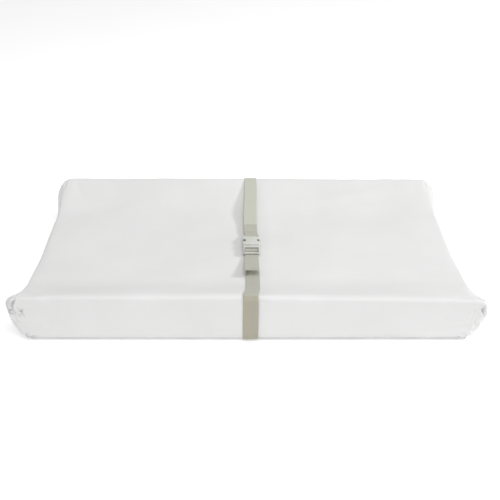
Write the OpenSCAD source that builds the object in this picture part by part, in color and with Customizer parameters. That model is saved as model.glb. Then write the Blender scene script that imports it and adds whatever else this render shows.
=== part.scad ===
// Contoured baby changing pad: a foam block with two raised long sides in a wiped-clean
// cover, held shut by a zip in its rear side, with a webbing safety belt across the hollow.
// X runs along the length, Y from the front side (-) to the rear side (+), Z is up, and the
// origin is the middle of the underside.

/* [Pad] */
// Length over the two ends
pad_l = 790; // [720:5:840]
// Width over the front and rear sides
pad_w = 436; // [410:2:460]
// Height of the crests of the raised sides
crest_h = 88; // [80:1:100]
// Height of the hollow in its middle
valley_h = 47; // [42:1:52]
// Distance from a side to the foot of its inner slope
slope_foot = 114; // [104:1:125]
// Radius of the crest's outer edge
crest_r = 6; // [4:1:10]
// Radius of the end's upper corner, seen from the front
end_top_r = 28; // [20:1:34]
// Radius of the end's lower corner, seen from the front
end_low_r = 24; // [18:1:28]
// How far the hollow's end stands back from the raised sides' ends
end_step = 6; // [4:1:16]

/* [Cover] */
// Thickness of the coated fabric
cover_t = 1; // [0.8:0.1:1.4]
// Thickness of the non-slip base fabric
base_t = 1.2; // [1:0.1:1.6]
// Width of each sewn-on end panel, along the length
end_panel_w = 26; // [20:1:32]
// Length of the zip's chain
zip_l = 600; // [400:10:620]
// Height of the zip's centre line
zip_z = 24; // [22:1:28]

/* [Belt] */
// Webbing width
strap_w = 25; // [20:0.5:26]
// Webbing thickness
strap_t = 1.5; // [1.2:0.1:1.6]
// Place of the belt along the length
strap_x = 7; // [-40:1:40]
// Height of the buckle's underside above the hollow
buckle_lift = 3; // [2:0.5:5]
// Length of the loose end in front of the buckle
tail_l = 72; // [50:1:76]
// How far the tip of the loose end stands up from the buckle
tail_rise = 14; // [8:1:16]
// Length of the sewn double layer behind the buckle
fold_l = 32; // [30:1:90]

/* [Anchors] */
// Distance between the two anchor tabs
anchor_span = 690; // [660:5:700]
// Length of an anchor tab outside the cover
anchor_l = 48; // [40:1:60]
// Radius of the screw hole in an anchor tab's eyelet
eyelet_r = 2.75; // [2:0.25:3]

/* [Hidden] */
$fn = 32;
gap = 0.3;
e = 0.01;
side_y = pad_w / 2;
end_x = pad_l / 2;
seam_x = end_x - end_panel_w;
edge_r = 8;
crest_flat = 2;
valley_sag = 3;
corner_r = 16;
slope_start = crest_r + crest_flat;
foot_y = side_y - slope_foot;

elastic_w = 5;
elastic_t = 0.8;
elastic_gap = 0.1;

buckle_z = valley_h + buckle_lift;
buckle_h = 11;
mouth_y = -8;
socket_l = 36;
socket_hw = 16.2;
cavity_hw = 13.2;
cavity_l = 24.5;
cavity_z = buckle_z + 2.2;
cavity_h = 6.6;
window_y0 = 9.1;
window_y1 = 19.6;
window_hw = 10.8;
slot_hw = strap_w / 2 + 0.6;
loop_bar_r = 2;
loop_bar_y = mouth_y + socket_l - 1.8;
loop_bar_z = buckle_z + 5.4;
plug_z = buckle_z + 1.1;
plug_h = 8.2;
plug_l = 24.6;
tongue_z = cavity_z + 0.5;
tongue_h = cavity_h - 1;
guide_hw = 3.5;
guide_l = 20;
lock_bar_r = 1.6;
lock_bar_y = mouth_y - 14.5;
lock_bar_z = buckle_z + 4.9;
front_bar_r = 1.9;
front_bar_y = mouth_y - 22.6;
front_bar_z = buckle_z + 4.7;
tail_end_y = front_bar_y - front_bar_r - tail_l;

inner_z = base_t + gap + strap_t / 2;
pocket_l = 58;
strap_cut_w = strap_w + 2;
rear_anchor_z = 47;
rear_anchor_in = 30;

anchor_w = 25;
anchor_y = side_y + 0.9;
anchor_root_l = 32;
eyelet_z = anchor_l - 8;
eyelet_flange_r = 6;
eyelet_barrel_r = 3.8;
eyelet_flange_t = 0.6;

chain_hw = 1.9;
chain_slit = 0.6;
chain_y = side_y - 1.6;
chain_t = 2;
tape_t = 0.6;
tape_w = 12;
zip_window = 11;
slider_l = 11;
slider_hw = 4.2;
plate_t = 1.3;
bridge_y = side_y + 3;
pull_l = 20;

// ---- outlines -------------------------------------------------------------------------

// Points of an arc about c, from angle a0 to a1
function arc(c, r, a0, a1, n) = [
    for (i = [0 : n]) let (a = a0 + (a1 - a0) * i / n) [c[0] + r * cos(a), c[1] + r * sin(a)]
];

function flipped(pts) = [for (i = [len(pts) - 1 : -1 : 0]) [-pts[i][0], pts[i][1]]];
function smooth(t) = t * t * (3 - 2 * t);

// A fall from 0 to 1 that turns down within round_in, runs straight and levels out over round_out
round_in = 0.08;
round_out = 0.5;
function fall(t) =
    let (steep = 1 / (1 - (round_in + round_out) / 2))
        t < round_in ? steep * t * t / (2 * round_in)
        : t < 1 - round_out ? steep * (t - round_in / 2)
        : 1 - steep * (1 - t) * (1 - t) / (2 * round_out);

function unit(v) = v / norm(v);
function left_of(v) = [-v[1], v[0]];

// Each point of an open line moved sideways by d, to the left of the way it runs
function beside(line, d) = [
    for (i = [0 : len(line) - 1])
        let (a = line[max(i - 1, 0)], b = line[min(i + 1, len(line) - 1)])
            line[i] + d * left_of(unit(b - a))
];

// A closed counter-clockwise outline drawn in by d all round
function inset(pts, d) = let (n = len(pts)) [
    for (i = [0 : n - 1])
        let (u = unit(pts[i] - pts[(i + n - 1) % n]), v = unit(pts[(i + 1) % n] - pts[i]),
             m = unit(left_of(u) + left_of(v)))
            pts[i] + m * d / max(m * left_of(u), 0.5)
];

// The outline of a band of thickness t that follows a line
function band(line, t) =
    concat(beside(line, -t / 2), [for (i = [len(line) - 1 : -1 : 0]) beside(line, t / 2)[i]]);

// Top of the hollow at distance y from the middle
function hollow_z(y) = valley_h + valley_sag * pow(y / foot_y, 2);

// A point of the inner slope, from its top (0) to its foot (1)
function on_slope(t) = [side_y - slope_start - (slope_foot - slope_start) * t,
                        crest_h + (hollow_z(foot_y) - crest_h) * fall(t)];

// The pad's surface from the middle of a side, over the crest, to the foot of the slope
slope_n = 14;
side_line = concat(
    arc([side_y - crest_r, crest_h - crest_r], crest_r, 0, 90, 5),
    [for (i = [0 : slope_n]) on_slope(pow(i / slope_n, 1.6))]
);
hollow_line = [for (y = [foot_y * 2 / 3 : -foot_y / 3 : 0]) [y, hollow_z(y)]];
half_section = concat(
    arc([side_y - edge_r, edge_r], edge_r, -90, 0, 5),
    side_line,
    [for (i = [0 : len(hollow_line) - 2]) hollow_line[i]]
);
section = concat(half_section, [[0, valley_h]], flipped(half_section));

// The pad seen from the front, with its ends tucked in towards the base
half_front = concat(
    arc([end_x - 6 - end_low_r, end_low_r], end_low_r, -90, -20, 5),
    [[end_x, crest_h / 2]],
    arc([end_x - end_top_r, crest_h + 1 - end_top_r], end_top_r, 0, 90, 7)
);
front_view = concat(half_front, flipped(half_front));

// The pad seen from above, with the hollow's ends standing back
half_plan = concat(
    [for (i = [0 : 6]) let (y = side_y - 98 + i * 12)
        [end_x - end_step * (1 - smooth(i / 6)), -y]],
    [[end_x, -(side_y - corner_r)]],
    arc([end_x - corner_r, -(side_y - corner_r)], corner_r, -15, -90, 5)
);
quarter = [for (i = [len(half_plan) - 1 : -1 : 0]) half_plan[i]];
plan_right = concat(quarter, [for (p = half_plan) [p[0], -p[1]]]);
plan_view = concat(plan_right, [for (p = plan_right) -p]);

// The whole pad, drawn in by d from its outer surface
module pad_shape(d = 0) {
    intersection() {
        rotate([90, 0, 90])
            linear_extrude(pad_l + 20, center = true)
                polygon(inset(section, d));
        rotate([90, 0, 0])
            linear_extrude(pad_w + 20, center = true)
                polygon(inset(front_view, d));
        translate([0, 0, -5])
            linear_extrude(crest_h + 10)
                polygon(inset(plan_view, d));
    }
}

module block(x, y, z) {
    translate([x[0], y[0], z[0]])
        cube([x[1] - x[0], y[1] - y[0], z[1] - z[0]]);
}

module across_strap(w) {
    translate([strap_x, 0, 0])
        rotate([90, 0, 90])
            linear_extrude(w, center = true)
                children();
}

// ---- foam, cover and base -------------------------------------------------------------

strap_span = [strap_x - strap_cut_w / 2, strap_x + strap_cut_w / 2];

module at_anchors() {
    for (s = [-1, 1])
        translate([s * anchor_span / 2, 0, 0])
            children();
}

// The places where webbing is sewn in along the bottom seam and above the zip
module webbing_cuts(front_in, anchor_in, rear_in) {
    block(strap_span, [-side_y - 5, -side_y + front_in], [base_t, inner_z + strap_t + 1.2]);
    block(strap_span, [side_y - rear_in, side_y + 5], [rear_anchor_z - 1.4, rear_anchor_z + 4.5]);
    at_anchors()
        block([-anchor_w / 2 - 1, anchor_w / 2 + 1], [side_y - anchor_in, side_y + 5],
              [base_t, inner_z + strap_t + 1.2]);
}

module foam_core() {
    color("lightyellow")
        difference() {
            pad_shape(cover_t + gap);
            translate([0, 0, -10])
                cube([pad_l + 50, pad_w + 50, 2 * (10 + base_t + gap) - 20], center = true);
            block([-pad_l, pad_l], [-pad_w, pad_w], [-10, base_t + gap]);
            webbing_cuts(pocket_l + 2, anchor_root_l + 4, rear_anchor_in + 2);
            block([-zip_l / 2 - 20, zip_l / 2 + 20], [side_y - 7, side_y + 5],
                  [zip_z - tape_w - 4, zip_z + tape_w + 4]);
            for (s = [-1, 1])
                elastic_groove(s);
        }
}

module elastic_groove(s) {
    difference() {
        translate([s * seam_x - elastic_w / 2 - 0.5, -pad_w, 5])
            cube([elastic_w + 1, 2 * pad_w, crest_h]);
        pad_shape(cover_t + elastic_gap + elastic_t + 2 * gap);
    }
}

module cover_shell() {
    difference() {
        pad_shape();
        pad_shape(cover_t);
        block([-pad_l, pad_l], [-pad_w, pad_w], [-5, base_t + 0.1]);
    }
}

module cover_wrap() {
    color("white")
        difference() {
            intersection() {
                cover_shell();
                block([-seam_x, seam_x], [-pad_w, pad_w], [0, pad_w]);
            }
            webbing_cuts(20, 20, 20);
            block([-zip_l / 2 - 8, zip_l / 2 + 8], [side_y - 5, side_y + 5],
                  [zip_z - zip_window / 2, zip_z + zip_window / 2]);
        }
}

module end_panel(s) {
    color("white")
        intersection() {
            cover_shell();
            translate([s * (seam_x + 0.1 + pad_l / 2), 0, 0])
                cube([pad_l, pad_w * 2, pad_w], center = true);
        }
}

module base_panel() {
    color("whitesmoke")
        intersection() {
            pad_shape();
            block([-pad_l, pad_l], [-pad_w, pad_w], [-1, base_t]);
        }
}

// The elastic that gathers the cover along each end seam
module end_elastic(s) {
    color("ivory")
        intersection() {
            difference() {
                pad_shape(cover_t + elastic_gap);
                pad_shape(cover_t + elastic_gap + elastic_t);
            }
            translate([s * seam_x - elastic_w / 2, -pad_w, 6])
                cube([elastic_w, 2 * pad_w, crest_h]);
        }
}

module care_label() {
    color("white")
        block([-190, -150], [side_y + 0.1, side_y + 0.5], [48, 70]);
}

// ---- zip in the rear side -------------------------------------------------------------

module zip_tape() {
    color("white")
        for (s = [-1, 1])
            translate([0, chain_y, zip_z + s * (chain_hw + tape_w / 2)])
                cube([zip_l + 24, tape_t, tape_w], center = true);
}

module zip_chain() {
    color("white")
        for (s = [-1, 1])
            translate([0, chain_y, zip_z + s * (chain_hw + chain_slit) / 2])
                cube([zip_l, chain_t, chain_hw - chain_slit], center = true);
}

module zip_stops() {
    color("silver")
        for (s = [-1, 1])
            translate([s * (zip_l / 2 + 2.2), chain_y, zip_z])
                cube([4, chain_t + 0.6, 2 * chain_hw], center = true);
}

slider_x = -zip_l / 2 + slider_l / 2 + 1;

module zip_slider() {
    inner_y = chain_y - chain_t / 2 - gap;
    outer_y = chain_y + chain_t / 2 + gap;
    color("silver")
        translate([slider_x, 0, zip_z]) {
            block([-slider_l / 2, slider_l / 2], [inner_y - plate_t, inner_y], [-slider_hw, slider_hw]);
            block([-slider_l / 2, slider_l / 2], [outer_y, outer_y + plate_t], [-slider_hw, slider_hw]);
            block([-2, 2], [inner_y - e, outer_y + e], [-0.45, 0.45]);
            for (s = [-1, 1])
                translate([0, 0, s * (slider_hw - 0.6)]) {
                    block([-slider_l / 2, slider_l / 2], [inner_y - e, chain_y - tape_t / 2 - gap],
                          [-0.6, 0.6]);
                    block([-slider_l / 2, slider_l / 2], [chain_y + tape_t / 2 + gap, outer_y + e],
                          [-0.6, 0.6]);
                }
            for (s = [-1, 1])
                translate([s * 4.2, 0, 0])
                    block([-0.8, 0.8], [outer_y, bridge_y + 0.8], [-0.8, 0.8]);
            translate([0, bridge_y, 0])
                rotate([0, 90, 0])
                    cylinder(r = 0.8, h = 8.6, center = true);
        }
}

// Hangs from the slider's bridge
module zip_pull() {
    color("silver")
        translate([slider_x, bridge_y, zip_z])
            difference() {
                union() {
                    rotate([0, 90, 0])
                        cylinder(r = 1.7, h = 6, center = true);
                    block([-3, 3], [-0.6, 0.6], [-pull_l, 0]);
                }
                rotate([0, 90, 0])
                    cylinder(r = 1.1, h = 10, center = true);
                translate([0, 0, -pull_l + 5])
                    rotate([90, 0, 0])
                        cylinder(r = 1.4, h = 5, center = true);
            }
}

// ---- belt -----------------------------------------------------------------------------

lift = gap + strap_t / 2;

function front_side(line) = [for (p = line) [-p[0], p[1]]];

over_side = beside(concat([[side_y, edge_r + 4]], side_line, hollow_line), -lift);
bottom_turn = arc([side_y - edge_r, edge_r], edge_r + lift, -38, 0, 4);
front_line = front_side(concat(
    [[side_y - pocket_l, inner_z], [side_y - 10, inner_z]],
    bottom_turn,
    [for (p = over_side) if (p[0] > 6 - lock_bar_y) p],
    [[1 - lock_bar_y, valley_h + lift]]
));

module strap_front() {
    color("darkseagreen")
        across_strap(strap_w)
            polygon(band(front_line, strap_t));
}

// Behind the buckle the belt spans the hollow side's slope, with a slight sag
loop_r = loop_bar_r + lift;
span_top = on_slope(0.045) + [0.2, lift + 0.1];
span_foot = [loop_bar_y + 12, loop_bar_z - loop_r - 0.6];
span_sag = 3;
fold_t = fold_l / (span_top[0] - span_foot[0]);
function on_span(t) = span_foot + (span_top - span_foot) * t - [0, span_sag * 4 * t * (1 - t)];
span = [for (i = [8 : -1 : 0]) on_span(i / 8)];
fold_over = [for (i = [1 : 5]) on_span(fold_t * i / 5) + [-1, strap_t + gap]];
rear_line = concat(
    [[side_y - rear_anchor_in, rear_anchor_z]],
    arc([side_y + lift - 2.5, rear_anchor_z + 2.5], 2.5, -90, 0, 4),
    [for (p = over_side) if (p[0] > span_top[0] + 2 && p[1] > rear_anchor_z + 3) p],
    span,
    arc([loop_bar_y, loop_bar_z], loop_r, -90, -270, 8),
    [[loop_bar_y + 6, loop_bar_z + loop_r - 0.6]],
    fold_over
);

module strap_rear() {
    color("darkseagreen")
        across_strap(strap_w)
            polygon(band(rear_line, strap_t));
}

tail_n = 6;
lock_r = lock_bar_r + lift;
tail_line = concat(
    [[lock_bar_y + lock_r, lock_bar_z - 2]],
    arc([lock_bar_y, lock_bar_z], lock_r, 0, 180, 8),
    [[front_bar_y + 3.4, front_bar_z - 2.6], [front_bar_y, front_bar_z - front_bar_r - lift]],
    [for (i = [1 : tail_n]) let (t = i / tail_n)
        [front_bar_y + (tail_end_y - front_bar_y) * t,
         front_bar_z - front_bar_r - lift + tail_rise * pow(t, 1.6)]]
);
hem_line = [
    for (i = [0 : 2])
        let (t = 1 - 0.07 * i) [front_bar_y + (tail_end_y - front_bar_y) * t,
        front_bar_z - front_bar_r - lift + tail_rise * pow(t, 1.6) + strap_t - 0.05]
];

module strap_tail() {
    color("darkseagreen")
        across_strap(strap_w) {
            polygon(band([for (i = [len(tail_line) - 1 : -1 : 0]) tail_line[i]], strap_t));
            polygon(band(hem_line, strap_t));
        }
}

// One row of stitches along the webbing or across it
module stitches(n, pitch, along) {
    for (i = [0 : n - 1])
        translate([along ? 0 : 1, along ? 1 : 0, 0] * (i - (n - 1) / 2) * pitch)
            cube([along ? 0.5 : 2.4, along ? 2.4 : 0.5, 0.3], center = true);
}

// Places its children on the upper face of the webbing, at the middle point of three
module on_webbing(points) {
    run = points[2] - points[0];
    translate([strap_x, points[1][0], points[1][1]])
        rotate([atan2(run[1], run[0]), 0, 0])
            translate([0, 0, strap_t / 2 + 0.25])
                children();
}

module strap_stitching() {
    color("honeydew")
        on_webbing([fold_over[1], fold_over[2], fold_over[3]])
            for (s = [-1, 1]) {
                translate([s * 10, 0, 0])
                    stitches(4, 3.4, true);
                translate([0, s * 8, 0])
                    stitches(5, 3.4, false);
            }
}

module tail_stitching() {
    color("honeydew")
        on_webbing(hem_line)
            for (s = [-1, 1])
                translate([0, s * 2.5, 0])
                    stitches(6, 3.4, false);
}

// ---- buckle ---------------------------------------------------------------------------

socket_half = [
    [15.2, 0], [socket_hw, 5], [socket_hw, socket_l - 12], [15.6, socket_l - 3], [13.6, socket_l]
];

// A flat moulding with a convex outline and chamfered edges
module moulding(half, z, h, c) {
    outline = concat(half, flipped(half));
    hull() {
        translate([0, 0, z + c])
            linear_extrude(h - 2 * c)
                polygon(outline);
        translate([0, 0, z])
            linear_extrude(h)
                polygon(inset(outline, c));
    }
}

module cross_bar(y, z, r) {
    translate([0, y, z])
        rotate([0, 90, 0])
            cylinder(r = r, h = 2 * slot_hw + 2, center = true);
}

module buckle_socket() {
    color("gainsboro")
        translate([strap_x, 0, 0]) {
            translate([0, mouth_y, 0])
                difference() {
                    moulding(socket_half, buckle_z, buckle_h, 1.2);
                    block([-cavity_hw, cavity_hw], [-1, cavity_l], [cavity_z, cavity_z + cavity_h]);
                    block([-20, 20], [window_y0, window_y1], [cavity_z, cavity_z + cavity_h]);
                    block([-slot_hw, slot_hw], [socket_l - 8.5, socket_l + 2],
                          [buckle_z - 1, buckle_z + buckle_h + 1]);
                    for (s = [-1, 1]) {
                        block(s > 0 ? [window_hw, 20] : [-20, -window_hw],
                              [window_y0 + 1, window_y1 - 1], [cavity_z, buckle_z + buckle_h + 1]);
                        translate([s * 21.5, (window_y0 + window_y1) / 2, buckle_z - 1])
                            cylinder(r = 8, h = buckle_h + 2);
                    }
                }
            cross_bar(loop_bar_y, loop_bar_z, loop_bar_r);
        }
}

plug_half = [[13, -plug_l], [15.4, -plug_l + 2.4], [15.4, -3], [14.4, -0.4]];

module buckle_plug() {
    color("gainsboro")
        translate([strap_x, 0, 0]) {
            translate([0, mouth_y, 0])
                difference() {
                    moulding(plug_half, plug_z, plug_h, 1);
                    block([-slot_hw, slot_hw], [-plug_l - 1, -8.2], [plug_z - 1, plug_z + plug_h + 1]);
                    block([-slot_hw, slot_hw], [-9, 1], [plug_z - 1, plug_z + 1.2]);
                }
            block([-guide_hw, guide_hw], [mouth_y - 1, mouth_y + guide_l],
                  [tongue_z, tongue_z + tongue_h]);
            cross_bar(lock_bar_y, lock_bar_z, lock_bar_r);
            cross_bar(front_bar_y, front_bar_z, front_bar_r);
        }
}

prong_outline = [
    [8, 0], [11.2, 0], [11.6, 9.4], [15.4, 9.6], [15.8, 12], [15, 16.5], [12.2, 20.5],
    [9.6, 21.4], [8.4, 20], [8, 8]
];

module prong(s) {
    color("gainsboro")
        translate([strap_x, mouth_y, tongue_z])
            linear_extrude(tongue_h)
                polygon([for (p = prong_outline) [s * p[0], p[1]]]);
}

// ---- anchor tabs ----------------------------------------------------------------------

// The part of each anchor tab that is sewn in under the cover
module anchor_roots() {
    color("darkseagreen")
        at_anchors()
            block([-anchor_w / 2, anchor_w / 2], [side_y - anchor_root_l, side_y + 0.5],
                  [inner_z - strap_t / 2, inner_z + strap_t / 2]);
}

module anchor_tab(s) {
    color("darkseagreen")
        translate([s * anchor_span / 2, 0, 0])
            difference() {
                block([-anchor_w / 2, anchor_w / 2], [anchor_y, anchor_y + strap_t],
                      [inner_z + 0.2, anchor_l]);
                eyelet_bore(eyelet_barrel_r + 0.1);
            }
}

module eyelet_bore(r) {
    translate([0, anchor_y + strap_t / 2, eyelet_z])
        rotate([90, 0, 0])
            cylinder(r = r, h = 20, center = true);
}

module anchor_eyelet(s) {
    t = strap_t + 2 * eyelet_flange_t;
    color("silver")
        translate([s * anchor_span / 2, anchor_y + strap_t / 2, eyelet_z])
            rotate([90, 0, 0])
                difference() {
                    union() {
                        cylinder(r = eyelet_barrel_r, h = t, center = true);
                        for (d = [-1, 1])
                            translate([0, 0, d * (t - eyelet_flange_t + 0.1) / 2])
                                cylinder(r = eyelet_flange_r, h = eyelet_flange_t - 0.1, center = true);
                    }
                    cylinder(r = eyelet_r, h = t + 2, center = true);
                }
}

foam_core();
cover_wrap();
end_panel(-1);  // end_panel_left
end_panel(1);  // end_panel_right
base_panel();
end_elastic(-1);  // end_elastic_left
end_elastic(1);  // end_elastic_right
zip_tape();
zip_chain();
zip_stops();
zip_slider();
zip_pull();
strap_front();
strap_rear();
strap_stitching();
strap_tail();
tail_stitching();
buckle_socket();
buckle_plug();
prong(-1);  // prong_left
prong(1);  // prong_right
anchor_roots();
anchor_tab(-1);  // anchor_tab_left
anchor_tab(1);  // anchor_tab_right
anchor_eyelet(-1);  // anchor_eyelet_left
anchor_eyelet(1);  // anchor_eyelet_right
care_label();
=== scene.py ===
"""Looks of a contoured changing pad: its cover, foam, base, belt, buckle, zip and anchor tabs."""
import math
import bmesh
import bpy
import numpy as np
from mathutils import Matrix, Vector


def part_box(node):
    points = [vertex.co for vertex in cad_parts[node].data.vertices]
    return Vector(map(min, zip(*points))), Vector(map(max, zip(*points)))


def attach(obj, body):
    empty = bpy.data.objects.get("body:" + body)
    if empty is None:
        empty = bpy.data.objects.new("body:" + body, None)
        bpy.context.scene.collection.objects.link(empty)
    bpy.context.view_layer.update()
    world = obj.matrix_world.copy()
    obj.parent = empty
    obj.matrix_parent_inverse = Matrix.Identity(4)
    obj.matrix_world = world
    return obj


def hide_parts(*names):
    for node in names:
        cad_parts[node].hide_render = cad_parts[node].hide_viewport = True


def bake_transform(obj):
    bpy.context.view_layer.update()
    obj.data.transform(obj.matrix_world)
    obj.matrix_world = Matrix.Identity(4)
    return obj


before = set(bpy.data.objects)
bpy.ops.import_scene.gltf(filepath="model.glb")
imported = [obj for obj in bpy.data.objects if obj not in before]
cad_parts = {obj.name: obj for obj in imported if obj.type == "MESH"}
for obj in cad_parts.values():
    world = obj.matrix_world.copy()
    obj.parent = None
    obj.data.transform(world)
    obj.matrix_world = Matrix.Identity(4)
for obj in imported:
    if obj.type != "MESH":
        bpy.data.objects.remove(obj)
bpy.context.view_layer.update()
scene = bpy.context.scene
MM = 0.001

# ---- sizes, from the frame where it gives them ----

wrap_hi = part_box("cover_wrap")[1]
SIDE_Y = wrap_hi.y
CREST_Z = wrap_hi.z
END_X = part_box("end_panel_right")[1].x
# The hollow, its crests, and the slope between them: how far its foot is from the side, and the
# shares of it that round over at the top and level out at the foot
VALLEY_Z = 0.047
VALLEY_SAG = 0.003
CREST_R = 0.006
CREST_FLAT = 0.0005
EDGE_R = 0.008
SLOPE_FOOT = 0.114
ROUND_IN = 0.035
ROUND_OUT = 0.5
# The ends: set back at the hollow, and tucked in towards the floor below a height
END_STEP = 0.006
FRONT_STEP = 0.0018
END_TUCK = 0.027
TUCK_Z = 0.054
COVER_T = 0.001
BASE_T = 0.0009
BASE_LIFT = 0.0005
# The filled cover's large shapes
END_ROUND = 0.030
END_DROOP = 0.024
PLAN_ROUND = 0.022
BELLY = 0.0035
CREST_SAG = 0.0045
CROWN = 0.0022

strap_lo, strap_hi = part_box("strap_front")
STRAP_X = (strap_lo.x + strap_hi.x) / 2
STRAP_W = strap_hi.x - strap_lo.x
STRAP_T = 0.0015
TURN_R = 0.0025
FOLD_L = 0.032
LIFT = 0.0003 + STRAP_T / 2
socket_lo, socket_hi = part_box("buckle_socket")
BUCKLE_Z = socket_lo.z
MOUTH_Y = socket_lo.y
LOOP_BAR_Y = socket_hi.y - 0.002
LOOP_BAR_Z = BUCKLE_Z + 0.0054
tail_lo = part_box("strap_tail")[0]
chain_lo, chain_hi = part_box("zip_chain")
ZIP_Z = (chain_lo.z + chain_hi.z) / 2
ZIP_END = chain_hi.x + 0.004
ZIP_GAP = 0.005
fold_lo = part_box("strap_rear")[0]

# ---- camera ----

FOCAL = 709 / 500 * 36
CAMERA_PITCH = 31.66
CAMERA_YAW = 0.88
CAMERA_Z = 0.7475
CAMERA_OUT = 0.925
CAMERA_SIDE = 0.0045
CAMERA_ROLL = 0.55
SENSOR = 36


def make_camera():
    data = bpy.data.cameras.new("camera")
    data.lens = FOCAL
    data.sensor_width = SENSOR
    camera = bpy.data.objects.new("camera", data)
    scene.collection.objects.link(camera)
    yaw = math.radians(-CAMERA_YAW)
    back = Vector((CAMERA_SIDE, -(SIDE_Y + CAMERA_OUT)))
    camera.location = (back.x * math.cos(yaw) - back.y * math.sin(yaw),
                       back.x * math.sin(yaw) + back.y * math.cos(yaw), CAMERA_Z)
    turn = Matrix.Rotation(yaw, 3, "Z") @ Matrix.Rotation(math.radians(90 - CAMERA_PITCH), 3, "X")
    camera.rotation_euler = (turn @ Matrix.Rotation(math.radians(CAMERA_ROLL), 3, "Z")).to_euler()
    scene.camera = camera


make_camera()

# ---- small helpers ----


def smooth(t):
    t = np.clip(t, 0, 1)
    return t * t * (3 - 2 * t)


def new_object(name, verts, faces, labels=None):
    mesh = bpy.data.meshes.new(name)
    mesh.from_pydata([tuple(v) for v in verts], [], [tuple(f) for f in faces])
    if labels is not None:
        mesh.polygons.foreach_set("material_index", labels)
    mesh.update()
    obj = bpy.data.objects.new(name, mesh)
    scene.collection.objects.link(obj)
    return obj


def smooth_shade(obj, angle=None):
    obj.data.polygons.foreach_set("use_smooth", [True] * len(obj.data.polygons))
    if angle:
        bpy.context.view_layer.objects.active = obj
        for other in bpy.context.selected_objects:
            other.select_set(False)
        obj.select_set(True)
        bpy.ops.object.shade_smooth_by_angle(angle=math.radians(angle))
    obj.data.update()


def apply_modifiers(obj):
    graph = bpy.context.evaluated_depsgraph_get()
    made = bpy.data.meshes.new_from_object(obj.evaluated_get(graph), depsgraph=graph)
    old = obj.data
    obj.modifiers.clear()
    obj.data = made
    bpy.data.meshes.remove(old)
    return obj


def copied(source, name):
    obj = bpy.data.objects.new(name, source.data.copy())
    scene.collection.objects.link(obj)
    return obj


def edit_mesh(obj, change):
    """Makes a change to an object's mesh through bmesh."""
    bm = bmesh.new()
    bm.from_mesh(obj.data)
    change(bm)
    bm.to_mesh(obj.data)
    bm.free()
    obj.data.update()


def weld(obj, distance):
    def join(bm):
        bmesh.ops.remove_doubles(bm, verts=bm.verts, dist=distance)
        bmesh.ops.recalc_face_normals(bm, faces=bm.faces)

    edit_mesh(obj, join)


def per_vertex(mesh, name):
    values = np.empty(len(mesh.vertices) * 3)
    mesh.vertices.foreach_get(name, values)
    return values.reshape(-1, 3)


def coords(obj):
    return per_vertex(obj.data, "co")


def normals(obj):
    return per_vertex(obj.data, "normal")


def set_coords(obj, co):
    obj.data.vertices.foreach_set("co", co.ravel())
    obj.data.update()


def ring_faces(a, b, count):
    """The faces between two rings of points, which start at a and at b."""
    return [(a + k, a + (k + 1) % count, b + (k + 1) % count, b + k) for k in range(count)]


def tube_faces(start, count, levels):
    """The walls and both ends of a tube: rings of points, one after the other from start."""
    last = start + count * (levels - 1)
    faces = [list(range(start, start + count))[::-1], list(range(last, last + count))]
    for low in range(start, last, count):
        faces += ring_faces(low, low + count, count)
    return faces


def unit_steps(line):
    """The direction of a line of points at each of them."""
    run = np.gradient(line, axis=0)
    return run / np.linalg.norm(run, axis=1)[:, None]


def near_belt(x, width):
    """Nearly 1 under the belt, and 0 away from it."""
    return np.exp(-((x - STRAP_X) / width) ** 4)


def waves(co, seed, scale, count=7):
    """Smooth noise from -1 to 1 at each point: a sum of sine waves in random directions."""
    rng = np.random.default_rng(seed)
    total = np.zeros(len(co))
    for _ in range(count):
        direction = rng.normal(size=3)
        direction *= rng.uniform(0.6, 1.6) / (scale * np.linalg.norm(direction))
        total += np.sin(co @ direction * 2 * math.pi + rng.uniform(0, 2 * math.pi))
    return total / math.sqrt(count * 2)


# ---- materials ----


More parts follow.
